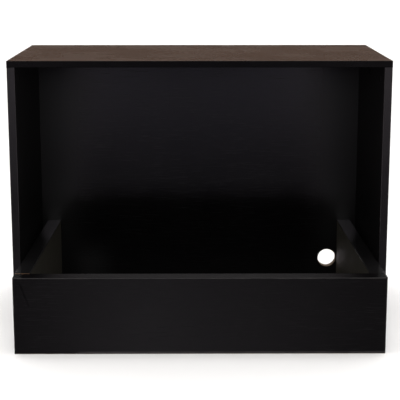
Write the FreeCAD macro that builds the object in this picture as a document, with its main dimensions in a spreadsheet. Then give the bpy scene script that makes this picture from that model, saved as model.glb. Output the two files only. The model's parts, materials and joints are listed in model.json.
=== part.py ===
import FreeCAD, Part
import Sketcher
import math
import os

# Open-fronted aquarium stand cabinet: a carcass of top, two sides and back, with a U-shaped base frame
# (front board and two rails) that stands inside the sides and projects in front of them.
# Millimetres, +Z up, front facing -Y, origin at the middle of the footprint on the floor.

doc = FreeCAD.newDocument("AquariumStand")
sheet = doc.addObject("Spreadsheet::Sheet", "Sizes")

driving_sizes = [
    ("cabinet_width", 914, "over the two side panels"),
    ("cabinet_height", 674, "floor to tank surface"),
    ("carcass_depth", 419, "side panels with their edge bands"),
    ("top_thickness", 16, "top panel"),
    ("side_thickness", 19, "side panels"),
    ("back_thickness", 19, "back panel"),
    ("base_height", 185, "front board and rails"),
    ("base_thickness", 36, "front board and rails"),
    ("base_projection", 144, "front board's face ahead of the side panels"),
    ("base_clearance", 2.5, "base frame to each side panel"),
    ("rail_toe_in", 12, "how far each rail runs inward at the rear"),
    ("floor_thickness", 16, "floor panel between the rails"),
    ("floor_lift", 6, "floor panel above the ground"),
    ("floor_clearance", 0.5, "floor panel to what stands round it"),
    ("band_thickness", 2, "edge bands"),
    ("band_rounding", 1.5, "outer corners of the edge bands"),
    ("cable_hole_radius", 25, "hole through the back panel"),
    ("cable_hole_height", 75, "its centre above the ground"),
    ("cable_hole_gap", 2.5, "its edge from the right rail"),
    ("cam_radius", 7.5, "cam disc"),
    ("cam_clearance", 0.1, "cam disc in its bore"),
    ("cam_bore_depth", 14.2, "cam bore"),
    ("cam_recess", 0.5, "cam disc below the surface"),
    ("cam_reach", 34, "cam's middle from the joint"),
    ("cam_way_radius", 3.6, "opening for the bolt head in the cam"),
    ("cam_slot_width", 1.6, "driver slot"),
    ("cam_slot_depth", 2.5, "driver slot"),
    ("bolt_inset", 9.5, "bolt axis below the surface that holds the cam"),
    ("bolt_thread_radius", 2.5, "bolt end in the facing panel"),
    ("bolt_thread_length", 11, "bolt end in the facing panel"),
    ("bolt_shank_radius", 3, "bolt between joint and cam"),
    ("bolt_neck_radius", 2, "bolt behind its head"),
    ("bolt_neck_length", 2.5, "bolt behind its head"),
    ("bolt_head_radius", 3.2, "bolt head in the cam"),
    ("bolt_head_length", 4, "bolt head in the cam"),
    ("bolt_head_gap", 0.5, "empty way past the head"),
    ("bolt_bore_radius", 4, "edge bore that the bolt passes"),
    ("cap_radius", 8.5, "cover cap"),
    ("cap_thickness", 1.2, "cover cap"),
    ("dowel_radius", 4, "wood dowel"),
    ("dowel_face_length", 11, "dowel in a panel's face"),
    ("dowel_edge_length", 19, "dowel in a panel's edge"),
    ("dowel_bottom_gap", 1, "empty bore past a dowel's end"),
    ("screw_head_radius", 5, "rear screw head"),
    ("screw_head_length", 3.5, "rear screw head"),
    ("screw_shank_radius", 3.5, "rear screw in the back panel"),
    ("screw_thread_radius", 2.5, "rear screw in the rail"),
    ("screw_thread_length", 31, "rear screw in the rail"),
    ("screw_socket_radius", 2.3, "hexagon socket across its corners, halved"),
    ("screw_socket_depth", 2.5, "hexagon socket"),
    ("fitting_inset", 60, "outermost fittings from a panel's end"),
    ("fitting_pitch", 32, "a dowel from the cam beside it"),
    ("base_fitting_inset", 45, "upper and lower fittings of the base from its edges"),
    ("top_back_fitting_x", 250, "fittings between top and back from the middle"),
    ("floor_dowel_x", 300, "outer floor dowels from the middle"),
    ("floor_dowel_y", 150, "floor dowels in the rails from the rails' ends"),
    ("drill_lead", 1, "where a drill starts outside a surface"),
]

for row, (alias, value, note) in enumerate(driving_sizes, start=1):
    sheet.set(f"A{row}", note)
    sheet.set(f"B{row}", str(value))
    sheet.setAlias(f"B{row}", alias)
doc.recompute()


def size(alias):
    """the expression that reads one driving size"""
    return f"Sizes.{alias}"


def worked_out(expression):
    """the number that an expression gives now"""
    return float(sheet.evalExpression(expression.replace("Sizes.", "")))


band = size("band_thickness")
half_width = f"({size('cabinet_width')} / 2)"
inner_half = f"({half_width} - {size('side_thickness')})"
side_height = f"({size('cabinet_height')} - {size('top_thickness')})"
base_front = f"(-({size('carcass_depth')} + {size('base_projection')}) / 2)"
carcass_front = f"({base_front} + {size('base_projection')})"
carcass_rear = f"({carcass_front} + {size('carcass_depth')})"
back_front = f"({carcass_rear} - {size('back_thickness')})"
board_rear = f"({base_front} + {size('base_thickness')})"
rail_length = f"({back_front} - {board_rear})"
base_half = f"({inner_half} - {size('base_clearance')})"

axis_names = ("x", "y", "z")
axis_vectors = {"x": FreeCAD.Vector(1, 0, 0), "y": FreeCAD.Vector(0, 1, 0), "z": FreeCAD.Vector(0, 0, 1)}
plane_roles = {"x": "YZ_Plane", "y": "XZ_Plane", "z": "XY_Plane"}
nodes = []


def place(thing, corner):
    """binds an object's position to three expressions"""
    for axis, expression in zip(axis_names, corner):
        thing.setExpression(f"Placement.Base.{axis}", expression)


def new_sketch(body, name, axis, level):
    """a sketch on the body's plane across an axis, at a level along that axis"""
    sketch = body.newObject("Sketcher::SketchObject", name)
    plane = [part for part in body.Origin.OriginFeatures if part.Role == plane_roles[axis]][0]
    sketch.AttachmentSupport = [(plane, "")]
    sketch.MapMode = "FlatFace"
    towards = "-1" if axis == "y" else "1"
    sketch.setExpression("AttachmentOffset.Base.z", f"{towards} * ({level})")
    return sketch


def pin_point(sketch, geometry, point, across, up):
    """fixes one point of a sketch at two expressions"""
    for kind, expression in (("DistanceX", across), ("DistanceY", up)):
        value = worked_out(expression)
        index = sketch.addConstraint(Sketcher.Constraint(kind, -1, 1, geometry, point, value))
        sketch.setExpression(f"Constraints[{index}]", expression)


def new_panel(label, corner, outline, thickness):
    """a flat panel: its plan outline (points as expressions from its corner) padded upward"""
    body = doc.addObject("PartDesign::Body", label)
    body.Label = label
    sketch = new_sketch(body, f"{label}_outline", "z", "0")
    spots = [FreeCAD.Vector(worked_out(across), worked_out(up), 0) for across, up in outline]
    count = len(spots)
    for index in range(count):
        sketch.addGeometry(Part.LineSegment(spots[index], spots[(index + 1) % count]), False)
    for index in range(count):
        sketch.addConstraint(Sketcher.Constraint("Coincident", index, 2, (index + 1) % count, 1))
    for index, (across, up) in enumerate(outline):
        pin_point(sketch, index, 1, across, up)
    pad = body.newObject("PartDesign::Pad", f"{label}_pad")
    pad.Profile = sketch
    pad.setExpression("Length", thickness)
    place(body, corner)
    doc.recompute()
    nodes.append(body)
    return {"body": body, "corner": corner}


def box_panel(label, corner, extent):
    """a panel with a rectangular outline"""
    across, deep, high = extent
    outline = [("0", "0"), (across, "0"), (across, deep), ("0", deep)]
    return new_panel(label, corner, outline, high)


def drill(panel, name, axis, way, starts, radius, depth):
    """round bores in a panel, from points of the assembly, along way * axis, where way is 1 or -1"""
    body, corner = panel["body"], panel["corner"]
    along = axis_names.index(axis)
    level = f"({starts[0][along]}) - ({corner[along]})"
    sketch = new_sketch(body, f"{body.Label}_{name}_sketch", axis, level)
    rest = [index for index in range(3) if index != along]
    for number, start in enumerate(starts):
        across, up = (f"({start[index]}) - ({corner[index]})" for index in rest)
        centre = FreeCAD.Vector(worked_out(across), worked_out(up), 0)
        normal = FreeCAD.Vector(0, 0, 1)
        sketch.addGeometry(Part.Circle(centre, normal, worked_out(radius)), False)
        pin_point(sketch, number, 3, across, up)
        index = sketch.addConstraint(Sketcher.Constraint("Radius", number, worked_out(radius)))
        sketch.setExpression(f"Constraints[{index}]", radius)
    before = body.Shape.Volume
    pocket = body.newObject("PartDesign::Pocket", f"{body.Label}_{name}")
    pocket.Profile = sketch
    pocket.setExpression("Length", depth)
    pocket.Reversed = (way > 0) != (axis == "y")
    doc.recompute()
    least = 0.5 * len(starts) * math.pi * worked_out(radius) ** 2 * worked_out(depth)
    if before - body.Shape.Volume < least:
        raise RuntimeError(f"{pocket.Name} cuts too little")


def round_edges(panel, is_outer):
    """rounds the edges of a panel whose two end points pass a test"""
    body = panel["body"]
    pad = body.Tip
    picked = []
    for number, edge in enumerate(pad.Shape.Edges, start=1):
        ends = [vertex.Point for vertex in edge.Vertexes]
        if is_outer(*ends):
            picked.append(f"Edge{number}")
    fillet = body.newObject("PartDesign::Fillet", f"{body.Label}_rounding")
    fillet.Base = (pad, picked)
    fillet.setExpression("Radius", size("band_rounding"))
    doc.recompute()


def round_band(panel, axis, outward):
    """rounds the outer long corners of an edge band that runs along an axis"""
    reach = max(vertex.Point.dot(outward) for vertex in panel["body"].Tip.Shape.Vertexes)

    def is_outer(start, end):
        run = (end - start).normalize()
        return abs(run.dot(axis_vectors[axis])) > 0.99 and abs(start.dot(outward) - reach) < 0.01

    round_edges(panel, is_outer)


def moved(point, axis, expression):
    """a point shifted along one axis by an expression"""
    along = axis_names.index(axis)
    shifted = list(point)
    shifted[along] = f"({point[along]}) + ({expression})"
    return tuple(shifted)


# ---------------------------------------------------------------- where the fittings go
# A cam fitting joins the edge of one panel to the face of another. Each entry holds the bolt's point
# on the joint, the way into the cam's panel, and the way that the cam's face looks.

depth_ends = [
    f"{carcass_front} + {size('fitting_inset')}",
    f"({carcass_front} + {carcass_rear}) / 2",
    f"{carcass_rear} - {size('fitting_inset')}",
]
depth_dowels = [
    f"{carcass_front} + {size('fitting_inset')} + {size('fitting_pitch')}",
    f"{carcass_rear} - {size('fitting_inset')} - {size('fitting_pitch')}",
]
height_ends = [
    f"{size('base_height')} + {size('fitting_inset')}",
    f"({size('base_height')} + {side_height}) / 2",
    f"{side_height} - {size('fitting_inset')}",
]
height_dowels = [
    f"{size('base_height')} + {size('fitting_inset')} + {size('fitting_pitch')}",
    f"{side_height} - {size('fitting_inset')} - {size('fitting_pitch')}",
]
base_heights = [size("base_fitting_inset"), f"{size('base_height')} - {size('base_fitting_inset')}"]
base_middle = f"{size('base_height')} / 2"
back_axis = f"({carcass_rear} - {size('bolt_inset')})"
top_back_places = [f"-{size('top_back_fitting_x')}", size("top_back_fitting_x")]
top_back_dowels = [
    f"-{size('top_back_fitting_x')} + {size('fitting_pitch')}",
    f"{size('top_back_fitting_x')} - {size('fitting_pitch')}",
]


def side_axis(hand):
    """middle of a side panel's thickness; hand is -1 on the left and 1 on the right"""
    return f"{hand} * ({half_width} - {size('side_thickness')} + {size('bolt_inset')})"


def rail_inner(hand, run):
    """a rail's inner face at a distance behind the front board"""
    slope = f"{size('rail_toe_in')} * ({run}) / {rail_length}"
    return f"{hand} * ({base_half} - {size('base_thickness')} - {slope})"


def rail_axis(hand):
    """the front fittings' axis in a rail"""
    under_cap = f"({size('cam_reach')} + {size('cap_radius')})"
    return f"({rail_inner(hand, under_cap)} + {hand} * {size('bolt_inset')})"


def rail_middle_rear(hand):
    """middle of a rail's rear end"""
    return f"{hand} * ({base_half} - {size('rail_toe_in')} - {size('base_thickness')} / 2)"


top_side_bolts = {hand: [(side_axis(hand), y, side_height) for y in depth_ends] for hand in (-1, 1)}
top_side_dowels = {hand: [(side_axis(hand), y, side_height) for y in depth_dowels] for hand in (-1, 1)}
back_side_bolts = {
    hand: [(f"{hand} * {inner_half}", back_axis, z) for z in height_ends] for hand in (-1, 1)
}
back_side_dowels = {
    hand: [(f"{hand} * {inner_half}", back_axis, z) for z in height_dowels] for hand in (-1, 1)
}
top_back_bolts = [(x, back_axis, side_height) for x in top_back_places]
top_back_pegs = [(x, back_axis, side_height) for x in top_back_dowels]
rail_bolts = {hand: [(rail_axis(hand), board_rear, z) for z in base_heights] for hand in (-1, 1)}
rail_dowels = {hand: [(rail_axis(hand), board_rear, base_middle)] for hand in (-1, 1)}
rear_screws = {hand: [(rail_middle_rear(hand), back_front, z) for z in base_heights] for hand in (-1, 1)}

floor_axis = f"({size('floor_lift')} + {size('floor_thickness')} / 2)"
floor_ends = [f"-{size('floor_dowel_x')}", "0", size("floor_dowel_x")]
floor_runs = [size("floor_dowel_y"), f"({rail_length} - {size('floor_dowel_y')})"]
floor_front_dowels = [(x, board_rear, floor_axis) for x in floor_ends]
floor_rear_dowels = [(x, back_front, floor_axis) for x in floor_ends]
floor_rail_dowels = {
    hand: [(rail_inner(hand, run), f"{board_rear} + {run}", floor_axis) for run in floor_runs]
    for hand in (-1, 1)
}

thread_radius = size("bolt_thread_radius")
thread_depth = size("bolt_thread_length")
dowel_radius = size("dowel_radius")
dowel_face_bore = f"({size('dowel_face_length')} + {size('dowel_bottom_gap')})"
dowel_edge_bore = f"({size('dowel_edge_length')} + {size('dowel_bottom_gap')})"
cam_bore_radius = f"({size('cam_radius')} + {size('cam_clearance')})"
lead = size("drill_lead")


def drill_for_cams(panel, name, bolts, axis, way, face_axis, look):
    """edge bores for bolts along way * axis, and cam bores in the face that looks along look * face_axis"""
    drill(panel, f"{name}_bolt_bores", axis, way, bolts, size("bolt_bore_radius"), size("cam_reach"))
    mouths = []
    for bolt in bolts:
        middle = moved(bolt, axis, f"{way} * {size('cam_reach')}")
        mouths.append(moved(middle, face_axis, f"{look} * ({size('bolt_inset')} + {lead})"))
    depth = f"{size('cam_bore_depth')} + {lead}"
    drill(panel, f"{name}_cam_bores", face_axis, -look, mouths, cam_bore_radius, depth)


# ---------------------------------------------------------------- top

top = box_panel(
    "top_panel",
    (f"-{half_width} + {band}", f"{carcass_front} + {band}", side_height),
    (
        f"{size('cabinet_width')} - 2 * {band}",
        f"{size('carcass_depth')} - 2 * {band}",
        size("top_thickness"),
    ),
)
for hand, name in ((-1, "left"), (1, "right")):
    drill(top, f"{name}_thread_bores", "z", 1, top_side_bolts[hand], thread_radius, thread_depth)
    drill(top, f"{name}_dowel_bores", "z", 1, top_side_dowels[hand], dowel_radius, dowel_face_bore)
drill(top, "back_thread_bores", "z", 1, top_back_bolts, thread_radius, thread_depth)
drill(top, "back_dowel_bores", "z", 1, top_back_pegs, dowel_radius, dowel_face_bore)

for name, start, outward in (
    ("top_front_band", carcass_front, FreeCAD.Vector(0, -1, 0)),
    ("top_rear_band", f"{carcass_rear} - {band}", FreeCAD.Vector(0, 1, 0)),
):
    strip = box_panel(
        name,
        (f"-{half_width}", start, side_height),
        (size("cabinet_width"), band, size("top_thickness")),
    )
    round_band(strip, "x", outward)
for name, start, outward in (
    ("top_left_band", f"-{half_width}", FreeCAD.Vector(-1, 0, 0)),
    ("top_right_band", f"{half_width} - {band}", FreeCAD.Vector(1, 0, 0)),
):
    strip = box_panel(
        name,
        (start, f"{carcass_front} + {band}", side_height),
        (band, f"{size('carcass_depth')} - 2 * {band}", size("top_thickness")),
    )
    round_band(strip, "y", outward)

# ---------------------------------------------------------------- sides

for hand, name in ((-1, "left"), (1, "right")):
    outer = f"-{half_width}" if hand < 0 else inner_half
    side = box_panel(
        f"{name}_side_panel",
        (outer, f"{carcass_front} + {band}", "0"),
        (size("side_thickness"), f"{size('carcass_depth')} - 2 * {band}", side_height),
    )
    drill_for_cams(side, "top", top_side_bolts[hand], "z", -1, "x", -hand)
    drill(side, "top_dowel_bores", "z", -1, top_side_dowels[hand], dowel_radius, dowel_edge_bore)
    drill(side, "back_thread_bores", "x", hand, back_side_bolts[hand], thread_radius, thread_depth)
    drill(side, "back_dowel_bores", "x", hand, back_side_dowels[hand], dowel_radius, dowel_face_bore)
    for edge, start, outward in (
        ("front", carcass_front, FreeCAD.Vector(0, -1, 0)),
        ("rear", f"{carcass_rear} - {band}", FreeCAD.Vector(0, 1, 0)),
    ):
        extent = (size("side_thickness"), band, side_height)
        strip = box_panel(f"{name}_side_{edge}_band", (outer, start, "0"), extent)
        round_band(strip, "z", outward)

# ---------------------------------------------------------------- back

back = box_panel(
    "back_panel",
    (f"-{inner_half}", back_front, "0"),
    (f"2 * {inner_half}", size("back_thickness"), side_height),
)
for hand, name in ((-1, "left"), (1, "right")):
    drill_for_cams(back, name, back_side_bolts[hand], "x", -hand, "y", 1)
    drill(back, f"{name}_dowel_bores", "x", -hand, back_side_dowels[hand], dowel_radius, dowel_edge_bore)
    seats = [moved(point, "y", f"{size('back_thickness')} + {lead}") for point in rear_screws[hand]]
    seat_depth = f"{size('screw_head_length')} + {lead}"
    drill(back, f"{name}_screw_seats", "y", -1, seats, size("screw_head_radius"), seat_depth)
    screw_radius = size("screw_shank_radius")
    drill(back, f"{name}_screw_bores", "y", 1, rear_screws[hand], screw_radius, size("back_thickness"))
drill_for_cams(back, "top", top_back_bolts, "z", -1, "y", 1)
drill(back, "top_dowel_bores", "z", -1, top_back_pegs, dowel_radius, dowel_edge_bore)
drill(back, "floor_dowel_bores", "y", 1, floor_rear_dowels, dowel_radius, dowel_face_bore)
hole_inset = f"({size('cable_hole_gap')} + {size('cable_hole_radius')})"
cable_hole = (f"{rail_inner(1, rail_length)} - {hole_inset}", back_front, size("cable_hole_height"))
drill(back, "cable_hole", "y", 1, [cable_hole], size("cable_hole_radius"), size("back_thickness"))

# ---------------------------------------------------------------- base frame

core_height = f"({size('base_height')} - {band})"
board = box_panel(
    "front_board",
    (f"-{base_half} + {band}", base_front, "0"),
    (f"2 * ({base_half} - {band})", size("base_thickness"), core_height),
)
for hand, name in ((-1, "left"), (1, "right")):
    drill(board, f"{name}_thread_bores", "y", -1, rail_bolts[hand], thread_radius, thread_depth)
    drill(board, f"{name}_dowel_bores", "y", -1, rail_dowels[hand], dowel_radius, dowel_face_bore)
drill(board, "floor_dowel_bores", "y", -1, floor_front_dowels, dowel_radius, dowel_face_bore)

strip = box_panel(
    "front_board_top_band",
    (f"-{base_half}", base_front, core_height),
    (f"2 * {base_half}", size("base_thickness"), band),
)
round_band(strip, "x", FreeCAD.Vector(0, 0, 1))
for name, start, outward in (
    ("front_board_left_band", f"-{base_half}", FreeCAD.Vector(-1, 0, 0)),
    ("front_board_right_band", f"{base_half} - {band}", FreeCAD.Vector(1, 0, 0)),
):
    strip = box_panel(name, (start, base_front, "0"), (band, size("base_thickness"), core_height))
    round_band(strip, "z", outward)

rail_shift = f"({size('base_thickness')} + {size('rail_toe_in')})"
for hand, name in ((-1, "left"), (1, "right")):
    if hand < 0:
        corner_x = f"-{base_half}"
        outline = [
            ("0", "0"),
            (size("base_thickness"), "0"),
            (rail_shift, rail_length),
            (size("rail_toe_in"), rail_length),
        ]
    else:
        corner_x = f"{base_half} - {rail_shift}"
        outline = [
            (size("rail_toe_in"), "0"),
            (rail_shift, "0"),
            (size("base_thickness"), rail_length),
            ("0", rail_length),
        ]
    rail = new_panel(f"{name}_base_rail", (corner_x, board_rear, "0"), outline, core_height)
    drill_for_cams(rail, "front", rail_bolts[hand], "y", 1, "x", -hand)
    drill(rail, "front_dowel_bores", "y", 1, rail_dowels[hand], dowel_radius, dowel_edge_bore)
    pilot_radius = size("screw_thread_radius")
    drill(rail, "rear_bores", "y", -1, rear_screws[hand], pilot_radius, size("screw_thread_length"))
    starts = [moved(point, "x", f"{-hand} * {lead}") for point in floor_rail_dowels[hand]]
    for number, start in enumerate(starts, start=1):
        depth = f"{dowel_face_bore} + {lead}"
        drill(rail, f"floor_dowel_bore_{number}", "x", hand, [start], dowel_radius, depth)
    strip = new_panel(f"{name}_rail_top_band", (corner_x, board_rear, core_height), outline, band)
    band_top = worked_out(band)
    round_edges(strip, lambda start, end: min(start.z, end.z) > 0.5 * band_top and abs(start.y - end.y) > 1)

# ---------------------------------------------------------------- floor panel

floor_gap = size("floor_clearance")
front_half = f"({base_half} - {size('base_thickness')} - {floor_gap})"
rear_half = f"({front_half} - {size('rail_toe_in')})"
floor_run = f"({rail_length} - 2 * {floor_gap})"
floor = new_panel(
    "floor_panel",
    (f"-{front_half}", f"{board_rear} + {floor_gap}", size("floor_lift")),
    [
        ("0", "0"),
        (f"2 * {front_half}", "0"),
        (f"{front_half} + {rear_half}", floor_run),
        (size("rail_toe_in"), floor_run),
    ],
    size("floor_thickness"),
)
edge_depth = f"{dowel_edge_bore} + {lead}"
front_starts = [moved(point, "y", f"-{lead}") for point in floor_front_dowels]
drill(floor, "front_dowel_bores", "y", 1, front_starts, dowel_radius, edge_depth)
rear_starts = [moved(point, "y", lead) for point in floor_rear_dowels]
drill(floor, "rear_dowel_bores", "y", -1, rear_starts, dowel_radius, edge_depth)
for hand, name in ((-1, "left"), (1, "right")):
    for number, point in enumerate(floor_rail_dowels[hand], start=1):
        start = moved(point, "x", f"{hand} * {lead}")
        bore_name = f"{name}_dowel_bore_{number}"
        drill(floor, bore_name, "x", -hand, [start], dowel_radius, edge_depth)

# ---------------------------------------------------------------- fittings


def cylinder(name, radius, length, level="0"):
    """an upright cylinder from a level"""
    made = doc.addObject("Part::Cylinder", name)
    made.setExpression("Radius", radius)
    made.setExpression("Height", length)
    made.setExpression("Placement.Base.z", level)
    return made


def turn(along, across):
    """the turn that lays local z along one direction and local x along another"""
    third = along.cross(across)
    return FreeCAD.Rotation(across, third, along, "ZXY")


def put(made, point, rotation):
    """places a fitting at a point of the assembly"""
    made.Placement = FreeCAD.Placement(FreeCAD.Vector(0, 0, 0), rotation)
    place(made, point)


def group(label, pieces):
    """one node of separate, alike solids"""
    made = doc.addObject("Part::Compound", label)
    made.Label = label
    made.Links = pieces
    nodes.append(made)


def cam_disc(name):
    """a cam: disc with the bolt's way on its local -x side and a driver slot in its face"""
    height = f"({size('cam_bore_depth')} - {size('cam_recess')})"
    disc = cylinder(f"{name}_disc", size("cam_radius"), height)
    way = doc.addObject("Part::Cylinder", f"{name}_way")
    way.Placement = FreeCAD.Placement(FreeCAD.Vector(0, 0, 0), FreeCAD.Rotation(axis_vectors["y"], 90))
    way.setExpression("Radius", size("cam_way_radius"))
    way.setExpression("Height", f"2 * {size('cam_radius')}")
    way_end = f"({size('bolt_head_length')} / 2 + {size('bolt_head_gap')})"
    way.setExpression("Placement.Base.x", f"{way_end} - 2 * {size('cam_radius')}")
    way.setExpression("Placement.Base.z", f"{size('cam_bore_depth')} - {size('bolt_inset')}")
    slot = doc.addObject("Part::Box", f"{name}_slot")
    slot.setExpression("Length", size("cam_slot_width"))
    slot.setExpression("Width", f"1.4 * {size('cam_radius')}")
    slot.setExpression("Height", size("cam_slot_depth"))
    slot.setExpression("Placement.Base.x", f"-{size('cam_slot_width')} / 2")
    slot.setExpression("Placement.Base.y", f"-0.7 * {size('cam_radius')}")
    slot.setExpression("Placement.Base.z", f"{height} - {size('cam_slot_depth')}")
    cuts = doc.addObject("Part::MultiFuse", f"{name}_cuts")
    cuts.Shapes = [way, slot]
    made = doc.addObject("Part::Cut", name)
    made.Base = disc
    made.Tool = cuts
    return made


def cam_bolt(name):
    """a bolt: thread below local zero, shank, neck and head above it"""
    head_top = f"({size('cam_reach')} + {size('bolt_head_length')} / 2)"
    head_low = f"({head_top} - {size('bolt_head_length')})"
    neck_low = f"({head_low} - {size('bolt_neck_length')})"
    made = doc.addObject("Part::MultiFuse", name)
    made.Shapes = [
        cylinder(f"{name}_thread", size("bolt_thread_radius"), thread_depth, f"-{thread_depth}"),
        cylinder(f"{name}_shank", size("bolt_shank_radius"), neck_low),
        cylinder(f"{name}_neck", size("bolt_neck_radius"), size("bolt_neck_length"), neck_low),
        cylinder(f"{name}_head", size("bolt_head_radius"), size("bolt_head_length"), head_low),
    ]
    return made


def rear_screw(name):
    """a screw that points along local z: head, shank through the back panel and thread"""
    head = size("screw_head_length")
    shank_end = size("back_thickness")
    shank_length = f"({shank_end} - {head})"
    thread_length = size("screw_thread_length")
    body = doc.addObject("Part::MultiFuse", f"{name}_body")
    body.Shapes = [
        cylinder(f"{name}_head", size("screw_head_radius"), head),
        cylinder(f"{name}_shank", size("screw_shank_radius"), shank_length, head),
        cylinder(f"{name}_thread", size("screw_thread_radius"), thread_length, shank_end),
    ]
    socket = doc.addObject("Part::Prism", f"{name}_socket")
    socket.Polygon = 6
    socket.setExpression("Circumradius", size("screw_socket_radius"))
    socket.setExpression("Height", size("screw_socket_depth"))
    made = doc.addObject("Part::Cut", name)
    made.Base = body
    made.Tool = socket
    return made


cam_fittings = []
for hand in (-1, 1):
    cam_fittings += [(point, "z", -1, "x", -hand) for point in top_side_bolts[hand]]
    cam_fittings += [(point, "x", -hand, "y", 1) for point in back_side_bolts[hand]]
    cam_fittings += [(point, "y", 1, "x", -hand) for point in rail_bolts[hand]]
cam_fittings += [(point, "z", -1, "y", 1) for point in top_back_bolts]

cams = []
bolts = []
caps = []
for number, (point, axis, way, face_axis, look) in enumerate(cam_fittings, start=1):
    along = axis_vectors[axis] * way
    outward = axis_vectors[face_axis] * look
    bolt = cam_bolt(f"bolt_{number}")
    put(bolt, point, turn(along, outward))
    bolts.append(bolt)
    middle = moved(point, axis, f"{way} * {size('cam_reach')}")
    cam = cam_disc(f"cam_{number}")
    bore_bottom = moved(middle, face_axis, f"{look} * ({size('bolt_inset')} - {size('cam_bore_depth')})")
    put(cam, bore_bottom, turn(outward, along))
    cams.append(cam)
    if face_axis != "y":
        cap = doc.addObject("Part::Cylinder", f"cap_{number}")
        cap.setExpression("Radius", size("cap_radius"))
        cap.setExpression("Height", size("cap_thickness"))
        surface = moved(middle, face_axis, f"{look} * {size('bolt_inset')}")
        put(cap, surface, turn(outward, along))
        caps.append(cap)
group("cam_discs", cams)
group("cam_bolts", bolts)
group("cam_cover_caps", caps)

dowel_spots = []
for hand in (-1, 1):
    dowel_spots += [(point, "z", -1) for point in top_side_dowels[hand]]
    dowel_spots += [(point, "x", -hand) for point in back_side_dowels[hand]]
    dowel_spots += [(point, "y", 1) for point in rail_dowels[hand]]
    dowel_spots += [(point, "x", -hand) for point in floor_rail_dowels[hand]]
dowel_spots += [(point, "z", -1) for point in top_back_pegs]
dowel_spots += [(point, "y", 1) for point in floor_front_dowels]
dowel_spots += [(point, "y", -1) for point in floor_rear_dowels]

dowels = []
for number, (point, axis, way) in enumerate(dowel_spots, start=1):
    dowel = doc.addObject("Part::Cylinder", f"dowel_{number}")
    dowel.setExpression("Radius", size("dowel_radius"))
    dowel.setExpression("Height", f"{size('dowel_face_length')} + {size('dowel_edge_length')}")
    across = axis_vectors["x" if axis != "x" else "y"]
    start = moved(point, axis, f"{-way} * {size('dowel_face_length')}")
    put(dowel, start, turn(axis_vectors[axis] * way, across))
    dowels.append(dowel)
group("wood_dowels", dowels)

screws = []
for hand in (-1, 1):
    for number, point in enumerate(rear_screws[hand], start=1):
        screw = rear_screw(f"screw_{'left' if hand < 0 else 'right'}_{number}")
        start = moved(point, "y", size("back_thickness"))
        put(screw, start, turn(axis_vectors["y"] * -1, axis_vectors["x"]))
        screws.append(screw)
group("rail_rear_screws", screws)

# ---------------------------------------------------------------- checks and export

doc.recompute()
for thing in doc.Objects:
    if "Invalid" in thing.State or "Error" in thing.State:
        raise RuntimeError(f"{thing.Name} failed to build: {thing.State}")
os.makedirs("parts", exist_ok=True)
for node in nodes:
    shape = node.Shape
    if shape.isNull() or not shape.isValid():
        raise RuntimeError(f"{node.Label} has no valid shape")
for node in nodes:
    node.Shape.exportStep(f"parts/{node.Label}.step")
    print(node.Label, len(node.Shape.Solids), "solids", round(node.Shape.Volume / 1000, 1), "cm3")
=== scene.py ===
import bmesh
import bpy
import json
import math
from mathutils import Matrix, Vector


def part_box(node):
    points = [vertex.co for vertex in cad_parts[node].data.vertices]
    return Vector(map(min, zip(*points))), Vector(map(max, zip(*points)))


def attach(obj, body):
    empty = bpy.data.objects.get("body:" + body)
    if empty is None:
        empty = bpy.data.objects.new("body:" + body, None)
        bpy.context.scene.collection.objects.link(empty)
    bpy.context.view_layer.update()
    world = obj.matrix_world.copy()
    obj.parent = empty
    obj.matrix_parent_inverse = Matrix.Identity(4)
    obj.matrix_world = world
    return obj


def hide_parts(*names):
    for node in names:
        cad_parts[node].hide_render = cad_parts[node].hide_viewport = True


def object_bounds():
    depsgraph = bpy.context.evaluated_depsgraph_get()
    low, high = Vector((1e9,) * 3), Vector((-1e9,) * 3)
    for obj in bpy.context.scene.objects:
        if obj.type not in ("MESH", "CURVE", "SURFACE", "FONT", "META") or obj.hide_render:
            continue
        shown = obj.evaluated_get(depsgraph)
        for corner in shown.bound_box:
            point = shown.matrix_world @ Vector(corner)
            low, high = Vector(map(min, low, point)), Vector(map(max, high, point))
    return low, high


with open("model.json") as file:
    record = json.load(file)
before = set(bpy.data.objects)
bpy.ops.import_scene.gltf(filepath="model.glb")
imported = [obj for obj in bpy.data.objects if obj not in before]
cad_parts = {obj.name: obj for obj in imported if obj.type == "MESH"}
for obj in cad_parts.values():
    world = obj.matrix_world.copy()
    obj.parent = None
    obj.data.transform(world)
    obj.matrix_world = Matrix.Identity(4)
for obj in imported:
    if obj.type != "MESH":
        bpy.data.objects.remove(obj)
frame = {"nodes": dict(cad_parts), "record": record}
nodes = frame["nodes"]
cadBox = [list(corner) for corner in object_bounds()]
mm = 0.001  # the frame is in metres
print("frame loaded:", len(nodes), "nodes")

# places read from the frame
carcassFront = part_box("left_side_front_band")[0].y
topRear = cadBox[1][1]
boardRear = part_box("front_board")[1].y
backFront, backRear = [corner.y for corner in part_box("back_panel")]
cableMount = [mount for mount in frame["record"]["mounts"] if mount["name"] == "cable_hole"][0]
cableHole = Vector(cableMount["pos_m"])
cableRadius = cableMount["dims"]["r_mm"] * mm

cameraLook = {
    "place": Vector((-0.0134, -2.7065, 0.9412)),
    "downDegrees": 10.93,
    "turnDegrees": 0.31,
    "lens": 98.1,
    "shiftUp": -0.11,
}


def makeCamera(look):
    data = bpy.data.cameras.new("camera")
    data.sensor_width = 36
    data.lens = look["lens"]
    data.shift_y = look["shiftUp"]
    data.clip_end = 200
    camera = bpy.data.objects.new("camera", data)
    bpy.context.scene.collection.objects.link(camera)
    down, turn = math.radians(look["downDegrees"]), math.radians(look["turnDegrees"])
    ahead = Vector((math.sin(turn) * math.cos(down), math.cos(turn) * math.cos(down), -math.sin(down)))
    camera.rotation_mode = "QUATERNION"
    camera.rotation_quaternion = ahead.to_track_quat("-Z", "Y")
    camera.location = look["place"]
    bpy.context.scene.camera = camera


makeCamera(cameraLook)
print("camera placed")


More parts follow.
